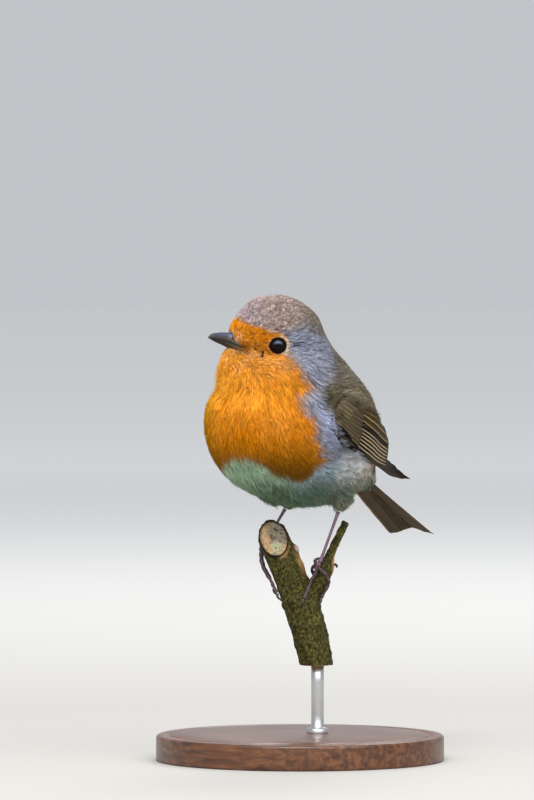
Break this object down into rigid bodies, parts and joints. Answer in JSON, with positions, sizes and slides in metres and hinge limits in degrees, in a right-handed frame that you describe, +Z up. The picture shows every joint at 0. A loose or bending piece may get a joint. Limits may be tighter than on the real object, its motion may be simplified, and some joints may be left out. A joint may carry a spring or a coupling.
{
  "type": "robin",
  "caption": "Life-size still robin with an orange face and breast, gripping a cut length of forked branch held on a round wooden base by a steel rod",
  "frame": {"origin": "centre of the underside of the round display base, under the bird", "axes": "+Z up, the bird's breast faces -Y and its left side is at +X"},
  "size_m": [0.09, 0.1245, 0.1459],
  "materials": {
    "plumage": "matte",
    "flight_feathers": "matte",
    "horn": "satin",
    "eye": "polished",
    "leg_scales": "satin",
    "bark": "matte",
    "base_wood": "satin",
    "rod_steel": "satin"
  },
  "bodies": {
    "root": {"trunk": "plumage", "neck": "plumage", "head": "plumage", "thigh_left": "plumage", "thigh_right": "plumage", "wing_left": "flight_feathers", "wing_right": "flight_feathers", "tail": "flight_feathers", "bill_upper": "horn", "bill_lower": "horn", "claw_left_1": "horn", "claw_left_2": "horn", "claw_left_3": "horn", "claw_left_4": "horn", "claw_right_1": "horn", "claw_right_2": "horn", "claw_right_3": "horn", "claw_right_4": "horn", "eye_left": "eye", "eye_right": "eye", "leg_left": "leg_scales", "leg_right": "leg_scales", "foot_left": "leg_scales", "foot_right": "leg_scales", "perch_branch": "bark", "perch_twig": "bark", "stand_base": "base_wood", "stand_rod": "rod_steel"}
  },
  "joints": []
}
